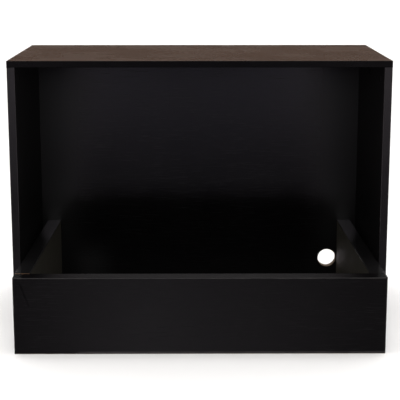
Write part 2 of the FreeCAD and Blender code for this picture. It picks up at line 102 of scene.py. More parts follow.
# node helpers, for materials and for geometry
def fill(tree, node, inputs):
    # each input, by name or number, gets a fixed value or a link from another node's output
    for key, value in inputs.items():
        socket = node.inputs[key]
        if isinstance(value, bpy.types.NodeSocket):
            tree.links.new(value, socket)
        else:
            socket.default_value = value
    return node


def addNode(tree, kind, inputs=None, settings=None):
    node = tree.nodes.new(kind)
    for option, value in (settings or {}).items():
        setattr(node, option, value)
    return fill(tree, node, inputs or {})


def addGroup(tree, group, inputs):
    node = tree.nodes.new("ShaderNodeGroup")
    node.node_tree = group
    return fill(tree, node, inputs).outputs


def mathNode(tree, operation, first, second=0.0, clamp=False):
    node = addNode(tree, "ShaderNodeMath", {0: first, 1: second}, {"operation": operation, "use_clamp": clamp})
    return node.outputs[0]


def plus(tree, first, second):
    return mathNode(tree, "ADD", first, second)


def minus(tree, first, second):
    return mathNode(tree, "SUBTRACT", first, second)


def times(tree, first, second):
    return mathNode(tree, "MULTIPLY", first, second)


def unsigned(tree, value):
    return mathNode(tree, "ABSOLUTE", value)


def vectorMath(tree, operation, first, second=(0, 0, 0)):
    return addNode(tree, "ShaderNodeVectorMath", {0: first, 1: second}, {"operation": operation}).outputs[0]


def split(tree, vector):
    return addNode(tree, "ShaderNodeSeparateXYZ", {"Vector": vector}).outputs


def ramp(tree, value, fromLow, fromHigh, toLow=0.0, toHigh=1.0):
    inputs = {0: value, 1: fromLow, 2: fromHigh, 3: toLow, 4: toHigh}
    settings = {"interpolation_type": "SMOOTHSTEP", "clamp": True}
    return addNode(tree, "ShaderNodeMapRange", inputs, settings).outputs[0]


def mixColour(tree, share, first, second, blend="MIX"):
    inputs = {0: share, 6: first, 7: second}
    return addNode(tree, "ShaderNodeMix", inputs, {"data_type": "RGBA", "blend_type": blend}).outputs[2]


def noise(tree, vector, scale, detail=3.0, roughness=0.55):
    inputs = {"Vector": vector, "Scale": scale, "Detail": detail, "Roughness": roughness}
    return addNode(tree, "ShaderNodeTexNoise", inputs).outputs[0]


def stretch(tree, place, grainAxis, across, along):
    # a vector for a pattern that runs along one axis
    scale = [across] * 3
    scale["xyz".index(grainAxis)] = along
    return addNode(tree, "ShaderNodeMapping", {"Vector": place, "Scale": scale}).outputs[0]


def surfaceNormal(tree):
    return split(tree, tree.nodes.new("ShaderNodeNewGeometry").outputs["Normal"])


def facingMask(tree, axis, sign):
    # 1 on faces that look along the given axis, 0 elsewhere
    return ramp(tree, times(tree, surfaceNormal(tree)[axis], sign), 0.5, 0.8)


def addBump(tree, shader, height, strength, distance):
    bump = addNode(tree, "ShaderNodeBump", {"Height": height, "Strength": strength, "Distance": distance})
    tree.links.new(bump.outputs[0], shader.inputs["Normal"])


def newMaterial(name):
    material = bpy.data.materials.new(name)
    material.use_nodes = True
    tree = material.node_tree
    place = tree.nodes.new("ShaderNodeTexCoord").outputs["Object"]
    return material, tree, tree.nodes["Principled BSDF"], place


def newGroup(name, inputs, outputs):
    tree = bpy.data.node_groups.new(name, "ShaderNodeTree")
    for socketName, kind, value in inputs:
        socket = tree.interface.new_socket(name=socketName, in_out="INPUT", socket_type=kind)
        if value is not None:
            socket.default_value = value
    for socketName, kind in outputs:
        tree.interface.new_socket(name=socketName, in_out="OUTPUT", socket_type=kind)
    return tree, tree.nodes.new("NodeGroupInput").outputs, tree.nodes.new("NodeGroupOutput")


floatSocket, vectorSocket, colourSocket = "NodeSocketFloat", "NodeSocketVector", "NodeSocketColor"


# effects that several materials share
grainEffect = {"poreFrom": (0.58, 0.68), "fibreHeight": 0.5, "poreDepth": 0.5}


def makeGrainGroup(effect):
    # embossed wood grain of a laminate: long fibres and short pores, on a vector already stretched along the grain
    tree, get, outside = newGroup(
        "laminateGrain",
        [("Vector", vectorSocket, None), ("Fibre Scale", floatSocket, 1.0), ("Pore Scale", floatSocket, 4.0)],
        [("Fibre", floatSocket), ("Pore", floatSocket), ("Height", floatSocket)],
    )
    fibre = noise(tree, get["Vector"], get["Fibre Scale"], 4.0, 0.6)
    pore = ramp(tree, noise(tree, get["Vector"], get["Pore Scale"], 2.0, 0.5), *effect["poreFrom"])
    height = minus(tree, times(tree, fibre, effect["fibreHeight"]), times(tree, pore, effect["poreDepth"]))
    fill(tree, outside, {"Fibre": fibre, "Pore": pore, "Height": height})
    return tree


wearEffect = {"patchScale": 26.0, "fullFrom": 0.75}


def makeWearGroup(effect):
    # rubbed arrises of a box-shaped board: strong where two of its faces are near, broken up by noise
    tree, get, outside = newGroup(
        "edgeWear",
        [
            ("Position", vectorSocket, None),
            ("Centre", vectorSocket, (0, 0, 0)),
            ("Half Size", vectorSocket, (1, 1, 1)),
            ("Width", floatSocket, 0.002),
            ("Patchiness", floatSocket, 0.5),
        ],
        [("Mask", floatSocket)],
    )
    offset = vectorMath(tree, "SUBTRACT", get["Position"], get["Centre"])
    depth = vectorMath(tree, "SUBTRACT", get["Half Size"], vectorMath(tree, "ABSOLUTE", offset))
    near = []
    for output in split(tree, depth):
        share = mathNode(tree, "DIVIDE", output, get["Width"])
        near.append(mathNode(tree, "SUBTRACT", 1.0, share, True))
    pairs = [times(tree, near[first], near[second]) for first, second in ((0, 1), (1, 2), (0, 2))]
    edge = mathNode(tree, "ADD", plus(tree, pairs[0], pairs[1]), pairs[2], True)
    patches = noise(tree, get["Position"], effect["patchScale"], 5.0)
    patches = ramp(tree, patches, get["Patchiness"], effect["fullFrom"])
    fill(tree, outside, {"Mask": times(tree, edge, patches)})
    return tree


dustEffect = {
    "upFrom": (0.6, 1.0),
    "cloudScale": 7.0,
    "cloudFrom": (0.3, 0.75),
    "cloudShow": 0.6,
    "speckScale": 900.0,
    "speckFrom": (0.66, 0.72),
    "speckShow": 0.7,
}


def makeDustGroup(effect):
    # a thin film of dust on faces that look up: soft clouds and fine specks
    tree, get, outside = newGroup(
        "dustFilm", [("Position", vectorSocket, None), ("Amount", floatSocket, 0.1)], [("Mask", floatSocket)]
    )
    upward = ramp(tree, surfaceNormal(tree)[2], *effect["upFrom"])
    clouds = ramp(tree, noise(tree, get["Position"], effect["cloudScale"], 6.0, 0.65), *effect["cloudFrom"])
    specks = ramp(tree, noise(tree, get["Position"], effect["speckScale"], 1.0), *effect["speckFrom"])
    film = plus(tree, times(tree, clouds, effect["cloudShow"]), times(tree, specks, effect["speckShow"]))
    fill(tree, outside, {"Mask": mathNode(tree, "MULTIPLY", times(tree, film, upward), get["Amount"], True)})
    return tree


chipEffect = {
    "dark": (0.20, 0.125, 0.07, 1),
    "pale": (0.47, 0.335, 0.205, 1),
    "gap": (0.09, 0.055, 0.03, 1),
    "gapFrom": (0.35, 0.75),
    "gapShow": 0.5,
    "pressed": (1.0, 1.0, 1.7),  # the chips lie flat
}


def makeChipGroup(effect):
    # sawn particle board: pressed wood chips of several browns
    tree, get, outside = newGroup(
        "chipBoard",
        [("Position", vectorSocket, None), ("Chip Scale", floatSocket, 420.0)],
        [("Colour", colourSocket), ("Height", floatSocket)],
    )
    flattened = vectorMath(tree, "MULTIPLY", get["Position"], effect["pressed"])
    chips = addNode(tree, "ShaderNodeTexVoronoi", {"Vector": flattened, "Scale": get["Chip Scale"]}).outputs
    tone = addNode(tree, "ShaderNodeSeparateColor", {"Color": chips["Color"]}).outputs[0]
    gaps = ramp(tree, chips["Distance"], *effect["gapFrom"])
    colour = mixColour(tree, tone, effect["dark"], effect["pale"])
    colour = mixColour(tree, times(tree, gaps, effect["gapShow"]), colour, effect["gap"])
    fill(tree, outside, {"Colour": colour, "Height": minus(tree, 1.0, gaps)})
    return tree


scuffEffect = {
    "bendScale": 3.0,
    "bendReach": (0.35, 0.2, 0.35),
    "lineWidth": 0.006,
    "patchScale": 4.5,
    "patchFrom": (0.52, 0.62),
    "smudgeScale": 5.5,
    "smudgeFrom": (0.35, 0.7),
}


def makeScuffGroup(effect):
    # hairline scratches, thin bent lines kept to a few patches, and wide smudges from handling
    tree, get, outside = newGroup(
        "scuffs",
        [("Position", vectorSocket, None), ("Scale", floatSocket, 9.0), ("Amount", floatSocket, 0.5)],
        [("Lines", floatSocket), ("Smudge", floatSocket)],
    )
    place = get["Position"]
    inputs = {"Vector": place, "Scale": effect["bendScale"], "Detail": 1.0}
    bend = addNode(tree, "ShaderNodeTexNoise", inputs).outputs["Color"]
    bent = vectorMath(tree, "ADD", place, vectorMath(tree, "MULTIPLY", bend, effect["bendReach"]))
    web = addNode(
        tree, "ShaderNodeTexVoronoi", {"Vector": bent, "Scale": get["Scale"]}, {"feature": "DISTANCE_TO_EDGE"}
    ).outputs["Distance"]
    lines = ramp(tree, web, 0.0, effect["lineWidth"], 1.0, 0.0)
    patches = ramp(tree, noise(tree, place, effect["patchScale"], 3.0), *effect["patchFrom"])
    shown = mathNode(tree, "MULTIPLY", times(tree, lines, patches), get["Amount"], True)
    smudge = ramp(tree, noise(tree, place, effect["smudgeScale"], 4.0, 0.6), *effect["smudgeFrom"])
    fill(tree, outside, {"Lines": shown, "Smudge": smudge})
    return tree


grainGroup = makeGrainGroup(grainEffect)
wearGroup = makeWearGroup(wearEffect)
dustGroup = makeDustGroup(dustEffect)
chipGroup = makeChipGroup(chipEffect)
scuffGroup = makeScuffGroup(scuffEffect)
print("shader groups ready")


def boardGrain(tree, place, grainAxis, look):
    vector = stretch(tree, place, grainAxis, look["fibresPerMetre"], look["fibreStretch"])
    return addGroup(tree, grainGroup, {"Vector": vector, "Fibre Scale": 1.0, "Pore Scale": look["poreScale"]})


def wornEdges(tree, place, nodeName, colour, look):
    # lightens the colour along the edges of the node's own box
    lowCorner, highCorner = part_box(nodeName)
    inputs = {
        "Position": place,
        "Centre": (highCorner + lowCorner) / 2,
        "Half Size": (highCorner - lowCorner) / 2,
        "Width": look["wearWidth"],
        "Patchiness": look["wearPatchiness"],
    }
    mask = addGroup(tree, wearGroup, inputs)["Mask"]
    return mixColour(tree, times(tree, mask, look["wearShow"]), colour, look["worn"])


def dusty(tree, place, colour, amount, dustColour):
    film = addGroup(tree, dustGroup, {"Position": place, "Amount": amount})["Mask"]
    return mixColour(tree, film, colour, dustColour)


def dress(nodeName, material):
    # a CAD node takes the one material for all its faces
    mesh = nodes[nodeName].data
    mesh.materials.clear()
    mesh.materials.append(material)


# black laminate on particle board
blackLaminate = {
    "dark": (0.0007, 0.0006, 0.0007, 1),
    "light": (0.0021, 0.0018, 0.0020, 1),
    "specular": 0.25,
    "roughness": (0.18, 0.205),
    "fibresPerMetre": 420.0,
    "fibreStretch": 9.0,
    "poreScale": 2.1,
    "poreShow": 0.6,
    "poreRoughness": 0.10,
    "grainBump": 0.035,
    "grainDepth": 0.4 * mm,
    "scuffScale": 8.0,
    "scuffAmount": 0.5,
    "scuffShow": 0.35,
    "worn": (0.020, 0.018, 0.017, 1),
    "wearWidth": 1.6 * mm,
    "wearPatchiness": 0.42,
    "wearShow": 0.5,
    "dust": 0.015,
    "dustColour": (0.30, 0.28, 0.26, 1),
    "chipScale": 420.0,
    "sawnBelow": (0.2 * mm, 0.4 * mm),  # the boards' feet are cut, not edged
    "sawnRoughness": 0.85,
}

boardMarks = {
    # a painted highlight along the strip just above the floor, and a slanting scrape near the left end
    "stripHeight": 7.0 * mm,
    "stripFrom": (-0.30, -0.27),
    "highlightColour": (0.030, 0.028, 0.029, 1),
    "stripFade": 0.6,
    "brokenScale": 22.0,
    "broken": (0.25, 0.7, 0.35, 1.0),
    "scrapeX": -0.408,
    "scrapeZ": 0.143,
    "scrapeLean": 0.36,
    "scrapeReach": (0.022, 0.034),
    "scrapeWidth": (0.8 * mm, 2.6 * mm),
    "scrapeGloss": 0.12,
}

backMarks = {
    # the raw rim of the cable hole with painted shade on it, the duller ends of the panel, and a painted
    # reflection in its lower left corner
    "rimNoise": 330.0,
    "rimChips": 2.6 * mm,
    "rimInset": 0.7 * mm,
    # painted shade on the raw rim and wall of the cable hole
    "rimShade": (0.42, 0.44, 0.50, 1),
    "dullFrom": (0.22, 0.44),
    "dullRoughness": 0.34,
    "cornerStart": (-0.37, -0.31),
    "cornerEnd": (-0.30, -0.22),
    "cornerHeight": (0.06, 0.15),
    "cornerShow": 0.022,
    "cornerReflection": (0.29, 0.29, 0.29, 1),
}

innerBacker = {
    # the plain grey-brown paper on the hidden side of the base boards, with painted light making it lighter toward
    # the rear
    "dark": (0.043, 0.039, 0.031, 1),
    "light": (0.083, 0.077, 0.062, 1),
    "streaksPerMetre": 55.0,
    "streakStretch": 2.0,
    "streakFrom": (0.35, 0.65),
    "streakShow": 0.35,
    "paintedLightAlong": (-0.18, 0.22),
    "paintedLightRange": (0.86, 1.55),
    "roughness": 0.75,
}


def highlightAndScrapeBoard(tree, place, colour, finish, marks):
    x, _, z = split(tree, place)
    # painted highlight: the strip along the foot of the board is made lighter, broken up by noise
    paintedHighlight = ramp(tree, z, marks["stripHeight"] * marks["stripFade"], marks["stripHeight"], 1.0, 0.0)
    paintedHighlight = times(tree, paintedHighlight, ramp(tree, x, *marks["stripFrom"]))
    broken = ramp(tree, noise(tree, place, marks["brokenScale"], 5.0, 0.7), *marks["broken"])
    colour = mixColour(tree, times(tree, paintedHighlight, broken), colour, marks["highlightColour"])
    height = minus(tree, z, marks["scrapeZ"])
    slant = unsigned(tree, plus(tree, minus(tree, x, marks["scrapeX"]), times(tree, height, marks["scrapeLean"])))
    reach = ramp(tree, unsigned(tree, height), *marks["scrapeReach"], 1.0, 0.0)
    scrape = times(tree, ramp(tree, slant, *marks["scrapeWidth"], 1.0, 0.0), reach)
    return colour, minus(tree, finish, times(tree, scrape, marks["scrapeGloss"]))


def rimMask(tree, place, marks):
    # the wall of the cable hole and the chipped laminate round it
    x, _, z = split(tree, place)
    across, up = minus(tree, x, cableHole.x), minus(tree, z, cableHole.z)
    away = mathNode(tree, "SQRT", plus(tree, times(tree, across, across), times(tree, up, up)))
    chipped = times(tree, noise(tree, place, marks["rimNoise"], 3.0), marks["rimChips"])
    return mathNode(tree, "LESS_THAN", away, plus(tree, chipped, cableRadius - marks["rimInset"]))


def dullEndsAndCornerReflection(tree, place, colour, finish, marks):
    x, _, z = split(tree, place)
    dull = ramp(tree, unsigned(tree, x), *marks["dullFrom"])
    finish = ramp(tree, dull, 0.0, 1.0, finish, marks["dullRoughness"])
    # painted reflection: a faint light patch low in the left corner of the back panel
    corner = times(tree, ramp(tree, x, *marks["cornerStart"]), ramp(tree, x, *marks["cornerEnd"], 1.0, 0.0))
    corner = times(tree, corner, ramp(tree, z, *marks["cornerHeight"], 1.0, 0.0))
    return mixColour(tree, times(tree, corner, marks["cornerShow"]), colour, marks["cornerReflection"]), finish


def paperBack(tree, place, colour, finish, fibre, side, paperLook):
    paper = mixColour(tree, fibre, paperLook["dark"], paperLook["light"])
    streaks = noise(
        tree, stretch(tree, place, "z", paperLook["streaksPerMetre"], paperLook["streakStretch"]), 1.0, 3.0, 0.6
    )
    streaks = ramp(tree, streaks, *paperLook["streakFrom"], 0.0, paperLook["streakShow"])
    paper = mixColour(tree, streaks, paper, paperLook["dark"])
    # painted light: the paper is lighter toward the rear and darker toward the front
    paintedLight = ramp(tree, split(tree, place)[1], *paperLook["paintedLightAlong"], *paperLook["paintedLightRange"])
    inner = facingMask(tree, *side)
    colour = mixColour(tree, inner, colour, mixColour(tree, 1.0, paper, paintedLight, "MULTIPLY"))
    return colour, ramp(tree, inner, 0.0, 1.0, finish, paperLook["roughness"])


def makeLaminate(
    nodeName, look, grainAxis, paperSide=None, mattSide=None, mattRoughness=None, foot=False, hole=False
):
    # a side is an axis number and a sign, for the faces that look that way
    material, tree, shader, place = newMaterial(f"{nodeName}_laminate")
    grain = boardGrain(tree, place, grainAxis, look)
    scuffs = addGroup(
        tree, scuffGroup, {"Position": place, "Scale": look["scuffScale"], "Amount": look["scuffAmount"]}
    )
    colour = mixColour(tree, grain["Fibre"], look["dark"], look["light"])
    colour = mixColour(tree, times(tree, grain["Pore"], look["poreShow"]), colour, look["dark"])
    colour = mixColour(tree, times(tree, scuffs["Lines"], look["scuffShow"]), colour, look["worn"])
    colour = wornEdges(tree, place, nodeName, colour, look)
    colour = dusty(tree, place, colour, look["dust"], look["dustColour"])
    finish = ramp(tree, scuffs["Smudge"], 0.0, 1.0, *look["roughness"])
    finish = plus(tree, finish, times(tree, grain["Pore"], look["poreRoughness"]))
    chips = addGroup(tree, chipGroup, {"Position": place, "Chip Scale": look["chipScale"]})
    raw, sawn = ramp(tree, split(tree, place)[2], *look["sawnBelow"], 1.0, 0.0), chips["Colour"]
    if mattSide:
        finish = ramp(tree, facingMask(tree, *mattSide), 0.0, 1.0, finish, mattRoughness)
    if foot:
        colour, finish = highlightAndScrapeBoard(tree, place, colour, finish, boardMarks)
    if hole:
        rim = rimMask(tree, place, backMarks)
        raw = mathNode(tree, "MAXIMUM", raw, rim)
        # painted shade darkens the raw rim and wall of the cable hole
        sawn = mixColour(tree, rim, sawn, mixColour(tree, 1.0, sawn, backMarks["rimShade"], "MULTIPLY"))
        colour, finish = dullEndsAndCornerReflection(tree, place, colour, finish, backMarks)
    if paperSide:
        colour, finish = paperBack(tree, place, colour, finish, grain["Fibre"], paperSide, innerBacker)
    colour = mixColour(tree, raw, colour, sawn)
    finish = ramp(tree, raw, 0.0, 1.0, finish, look["sawnRoughness"])
    height = plus(tree, grain["Height"], times(tree, chips["Height"], raw))
    fill(tree, shader, {"Base Color": colour, "Roughness": finish, "Specular IOR Level": look["specular"]})
    addBump(tree, shader, height, look["grainBump"], look["grainDepth"])
    return material


laminates = {
    "left_side_panel": {"grainAxis": "z", "mattSide": (0, 1.0), "mattRoughness": 0.60},
    "right_side_panel": {"grainAxis": "z", "mattSide": (0, -1.0), "mattRoughness": 0.60},
    "back_panel": {"grainAxis": "x", "hole": True},
    "front_board": {"grainAxis": "x", "foot": True, "paperSide": (1, 1.0)},
    "left_base_rail": {"grainAxis": "y", "paperSide": (0, 1.0)},
    "right_base_rail": {"grainAxis": "y", "paperSide": (0, -1.0)},
    "floor_panel": {"grainAxis": "x", "mattSide": (2, 1.0), "mattRoughness": 0.75},
}
for nodeName, choice in laminates.items():
    dress(nodeName, makeLaminate(nodeName, blackLaminate, **choice))
print("black boards dressed")

# the top: brown woodgrain above, black below and at the edges
topFinish = {
    "brownFrom": (0.72, 0.9),  # how squarely a face looks up before it is brown
    "brownDark": (0.044, 0.0225, 0.0135, 1),
    "brownLight": (0.078, 0.0400, 0.0245, 1),
    "black": (0.0014, 0.0012, 0.0014, 1),
    "specular": 0.10,
    "roughness": (0.25, 0.30),
    "fibresPerMetre": 420.0,
    "fibreStretch": 4.0,
    "poreScale": 1.9,
    "poreShow": 0.5,
    "bandsPerMetre": 16.0,
    "bandStretch": 0.7,
    "bandFrom": (0.35, 0.7),
    "bandShow": 0.45,
    "grainBump": 0.03,
    "grainDepth": 0.4 * mm,
    "scuffScale": 6.0,
    "scuffAmount": 0.4,
    "scuffShow": 0.25,
    "scratched": (0.16, 0.12, 0.095, 1),
    "dustFrom": carcassFront + 0.1,
    "dust": (0.006, 0.045),
    "dustColour": (0.36, 0.33, 0.30, 1),
}


def makeTopFinish(look):
    material, tree, shader, place = newMaterial("top_woodgrain")
    grain = boardGrain(tree, place, "x", look)
    bands = noise(tree, stretch(tree, place, "x", look["bandsPerMetre"], look["bandStretch"]), 1.0, 3.0, 0.6)
    brown = mixColour(tree, grain["Fibre"], look["brownDark"], look["brownLight"])
    banded = ramp(tree, bands, *look["bandFrom"], 0.0, look["bandShow"])
    brown = mixColour(tree, banded, brown, look["brownDark"])
    brown = mixColour(tree, times(tree, grain["Pore"], look["poreShow"]), brown, look["brownDark"])
    scuffs = addGroup(
        tree, scuffGroup, {"Position": place, "Scale": look["scuffScale"], "Amount": look["scuffAmount"]}
    )
    brown = mixColour(tree, times(tree, scuffs["Lines"], look["scuffShow"]), brown, look["scratched"])
    dustAmount = ramp(tree, split(tree, place)[1], look["dustFrom"], topRear, *look["dust"])
    brown = dusty(tree, place, brown, dustAmount, look["dustColour"])
    colour = mixColour(tree, ramp(tree, surfaceNormal(tree)[2], *look["brownFrom"]), look["black"], brown)
    finish = ramp(tree, scuffs["Smudge"], 0.0, 1.0, *look["roughness"])
    fill(tree, shader, {"Base Color": colour, "Roughness": finish, "Specular IOR Level": look["specular"]})
    addBump(tree, shader, grain["Height"], look["grainBump"], look["grainDepth"])
    return material


topMaterial = makeTopFinish(topFinish)
topPieces = ("top_panel", "top_front_band", "top_rear_band", "top_left_band", "top_right_band")
for nodeName in topPieces:
    dress(nodeName, topMaterial)
print("top dressed")

# black edge bands
bandFinish = {
    "dark": (0.0012, 0.0010, 0.0012, 1),
    "light": (0.0034, 0.0030, 0.0034, 1),
    "specular": 0.30,
    "roughness": (0.20, 0.25),
    "patchScale": 14.0,
    "patchFrom": (0.3, 0.7),
    "ripplesPerMetre": 700.0,
    "rippleStretch": 3.0,
    "rippleBump": 0.04,
    "rippleDepth": 0.3 * mm,
    "worn": (0.035, 0.031, 0.029, 1),
    "wearWidth": 1.8 * mm,
    "wearPatchiness": 0.35,
    "wearShow": 0.5,
    "dust": 0.012,
    "dustColour": (0.30, 0.28, 0.26, 1),
}

lighterMiddleTop = {
    # the top of the front board is lighter along its middle and darker near its ends
    "specular": 0.18,
    "colour": (0.0135, 0.012, 0.013, 1),
    "plainEndsFrom": (0.30, 0.40),
    "cloudScale": 9.0,
    "cloudy": (0.3, 0.7, 0.75, 1.0),
}

railTop = {
    # painted light on the rear of each rail top, reaching further forward along its inner edge, over a lighter
    # film on the whole top
    "film": (0.0075, 0.0072, 0.0076, 1),
    "filmShow": 0.7,
    # the colour of the painted light on the rear of the rail tops
    "dust": (0.066, 0.060, 0.071, 1),
    "dustFrom": (-0.01, 0.11),
    "innerEdge": 0.39,
    "slant": 2.8,
    "rawEdge": 0.4 * mm,
    "rawChips": 600.0,
    "rawStain": (0.62, 0.50, 0.42, 1),
    "rawRoughness": 0.85,
}


def lightenTopMiddle(tree, place, colour, look):
    # lighter colour along the middle of the top face, fading out toward the ends
    middle = ramp(tree, unsigned(tree, split(tree, place)[0]), *look["plainEndsFrom"], 1.0, 0.0)
    cloudy = ramp(tree, noise(tree, place, look["cloudScale"], 4.0), *look["cloudy"])
    lightening = times(tree, times(tree, middle, cloudy), facingMask(tree, 2, 1.0))
    return mixColour(tree, lightening, colour, look["colour"])


def railTopLightAndRawEnd(tree, place, colour, finish, rawEnd, look):
    x, y, _ = split(tree, place)
    outward = times(tree, minus(tree, unsigned(tree, x), look["innerEdge"]), look["slant"])
    upward = facingMask(tree, 2, 1.0)
    colour = mixColour(tree, times(tree, upward, look["filmShow"]), colour, look["film"])
    # painted light: the rear of the rail top is lighter, its boundary slanting forward along the inner edge
    paintedLitRear = times(tree, ramp(tree, minus(tree, y, outward), *look["dustFrom"]), upward)
    colour = mixColour(tree, paintedLitRear, colour, look["dust"])
    raw = ramp(tree, y, rawEnd, rawEnd + look["rawEdge"], 1.0, 0.0)
    chips = addGroup(tree, chipGroup, {"Position": place, "Chip Scale": look["rawChips"]})
    colour = mixColour(tree, raw, colour, mixColour(tree, 1.0, chips["Colour"], look["rawStain"], "MULTIPLY"))
    return colour, ramp(tree, raw, 0.0, 1.0, finish, look["rawRoughness"])


def makeBand(nodeName, look, lengthAxis, shortBy=None, lighterMiddle=False):
    material, tree, shader, place = newMaterial(f"{nodeName}_edging")
    ripples = noise(
        tree, stretch(tree, place, lengthAxis, look["ripplesPerMetre"], look["rippleStretch"]), 1.0, 3.0, 0.6
    )
    colour = mixColour(tree, ripples, look["dark"], look["light"])
    colour = wornEdges(tree, place, nodeName, colour, look)
    finish = ramp(tree, noise(tree, place, look["patchScale"], 4.0), *look["patchFrom"], *look["roughness"])
    if lighterMiddle:
        colour = lightenTopMiddle(tree, place, colour, lighterMiddleTop)
    else:
        colour = dusty(tree, place, colour, look["dust"], look["dustColour"])
    if shortBy is not None:
        colour, finish = railTopLightAndRawEnd(tree, place, colour, finish, boardRear + shortBy, railTop)
    specular = lighterMiddleTop["specular"] if lighterMiddle else look["specular"]
    fill(tree, shader, {"Base Color": colour, "Roughness": finish, "Specular IOR Level": specular})
    addBump(tree, shader, ripples, look["rippleBump"], look["rippleDepth"])
    return material


bands = {
    "left_side_front_band": {"lengthAxis": "z"},
    "left_side_rear_band": {"lengthAxis": "z"},
    "right_side_front_band": {"lengthAxis": "z"},
    "right_side_rear_band": {"lengthAxis": "z"},
    "front_board_top_band": {"lengthAxis": "x", "lighterMiddle": True},
    "front_board_left_band": {"lengthAxis": "z"},
    "front_board_right_band": {"lengthAxis": "z"},
    "left_rail_top_band": {"lengthAxis": "y", "shortBy": 0.7 * mm},  # this edging stops short of the board
    "right_rail_top_band": {"lengthAxis": "y", "shortBy": -0.5 * mm},  # and this one meets it
}
for nodeName, choice in bands.items():
    dress(nodeName, makeBand(nodeName, bandFinish, **choice))
print("edge bands dressed")

# metal, cap plastic and dowel wood
zincFinish = {
    "dark": (0.36, 0.36, 0.35, 1),
    "light": (0.62, 0.62, 0.60, 1),
    "roughness": (0.30, 0.55),
    "patchScale": 60.0,
    "grainScale": 1400.0,
    "bump": 0.12,
}
steelFinish = {
    "dark": (0.42, 0.38, 0.28, 1),
    "light": (0.72, 0.68, 0.55, 1),
    "roughness": (0.18, 0.38),
    "patchScale": 60.0,
    "grainScale": 2600.0,
    "bump": 0.12,
}
capFinish = {
    "dark": (0.0022, 0.0021, 0.0023, 1),
    "light": (0.0046, 0.0044, 0.0047, 1),
    "specular": 0.12,
    "roughness": (0.60, 0.75),
    "patchScale": 90.0,
    "grainAxis": "z",
    "across": 1500.0,
    "along": 1500.0,
    "bump": 0.10,
}
beechFinish = {
    "dark": (0.38, 0.22, 0.11, 1),
    "light": (0.62, 0.42, 0.25, 1),
    "specular": 0.3,
    "roughness": (0.60, 0.75),
    "patchScale": 90.0,
    "grainAxis": "y",
    "across": 900.0,
    "along": 60.0,
    "bump": 0.25,
}
fineDepth = 0.2 * mm  # of the bumps in metal, plastic and beech


def makeMetal(name, look):
    material, tree, shader, place = newMaterial(name)
    fine = noise(tree, place, look["grainScale"], 3.0)
    colour = mixColour(tree, noise(tree, place, look["patchScale"], 4.0), look["dark"], look["light"])
    finish = ramp(tree, fine, 0.3, 0.7, *look["roughness"])
    fill(tree, shader, {"Base Color": colour, "Roughness": finish, "Metallic": 1.0})
    addBump(tree, shader, fine, look["bump"], fineDepth)
    return material


def makeDull(name, look):
    material, tree, shader, place = newMaterial(name)
    fibres = noise(tree, stretch(tree, place, look["grainAxis"], look["across"], look["along"]), 1.0, 4.0, 0.6)
    colour = mixColour(tree, fibres, look["dark"], look["light"])
    finish = ramp(tree, noise(tree, place, look["patchScale"]), 0.3, 0.7, *look["roughness"])
    fill(tree, shader, {"Base Color": colour, "Roughness": finish, "Specular IOR Level": look["specular"]})
    addBump(tree, shader, fibres, look["bump"], fineDepth)
    return material


zincMaterial = makeMetal("cast_zinc", zincFinish)
steelMaterial = makeMetal("plated_steel", steelFinish)
capMaterial = makeDull("cap_plastic", capFinish)
dress("cam_bolts", steelMaterial)
dress("wood_dowels", makeDull("dowel_beech", beechFinish))
print("bolts and dowels dressed")


# fasteners: each kind is one shape that geometry nodes stand on points
def loosePieces(nodeName):
    # middle and size of every separate solid of a CAD node
    work = bmesh.new()
    work.from_mesh(nodes[nodeName].data)
    bmesh.ops.remove_doubles(work, verts=work.verts, dist=1e-6)
    left = set(work.verts)
    found = []
    while left:
        queue = [left.pop()]
        corners = []
        while queue:
            vertex = queue.pop()
            corners.append(vertex.co.copy())
            for edge in vertex.link_edges:
                other = edge.other_vert(vertex)
                if other in left:
                    left.remove(other)
                    queue.append(other)
        lowest = Vector([min(corner[axis] for corner in corners) for axis in range(3)])
        highest = Vector([max(corner[axis] for corner in corners) for axis in range(3)])
        found.append(((lowest + highest) / 2, highest - lowest))
    work.free()
    return sorted(found, key=lambda piece: tuple(round(value, 4) for value in piece[0]))


def outwardOf(middle, thinAxis):
    # rear fittings face backward, the rest face the middle of the cabinet
    if thinAxis == 1:
        return Vector((0, 1, 0))
    return Vector((-1 if middle.x > 0 else 1, 0, 0))


def faceSpots(nodeName):
    # the middle of every solid's outer face, and the way that it faces
    spots = []
    for middle, extent in loosePieces(nodeName):
        thinAxis = min(range(3), key=lambda axis: extent[axis])
        outward = outwardOf(middle, thinAxis)
        spots.append((middle + outward * extent[thinAxis] / 2, outward))
    return spots


def pointCloud(name, spots):
    # one vertex for each fastener, with the way that it faces as an attribute
    mesh = bpy.data.meshes.new(name)
    mesh.from_pydata([spot for spot, _ in spots], [], [])
    facing = mesh.attributes.new("facing", "FLOAT_VECTOR", "POINT")
    for index, (_, outward) in enumerate(spots):
        facing.data[index].vector = outward
    cloud = bpy.data.objects.new(name, mesh)
    bpy.context.scene.collection.objects.link(cloud)
    return cloud


def newTree(name, sizes):
    tree = bpy.data.node_groups.new(name, "GeometryNodeTree")
    tree.is_modifier = True
    tree.interface.new_socket(name="Geometry", in_out="INPUT", socket_type="NodeSocketGeometry")
    for socketName, value in sizes.items():
        socket = tree.interface.new_socket(name=socketName, in_out="INPUT", socket_type="NodeSocketFloat")
        socket.default_value = value
    tree.interface.new_socket(name="Geometry", in_out="OUTPUT", socket_type="NodeSocketGeometry")
    return tree, tree.nodes.new("NodeGroupInput").outputs, tree.nodes.new("NodeGroupOutput")


def lifted(tree, geometry, height, turnDegrees=0.0):
    # moves a shape along its own axis, after turning it about that axis
    shift = addNode(tree, "ShaderNodeCombineXYZ", {"Z": height}).outputs[0]
    turn = (0, 0, math.radians(turnDegrees))
    inputs = {"Geometry": geometry, "Translation": shift, "Rotation": turn}
    return addNode(tree, "GeometryNodeTransform", inputs).outputs[0]


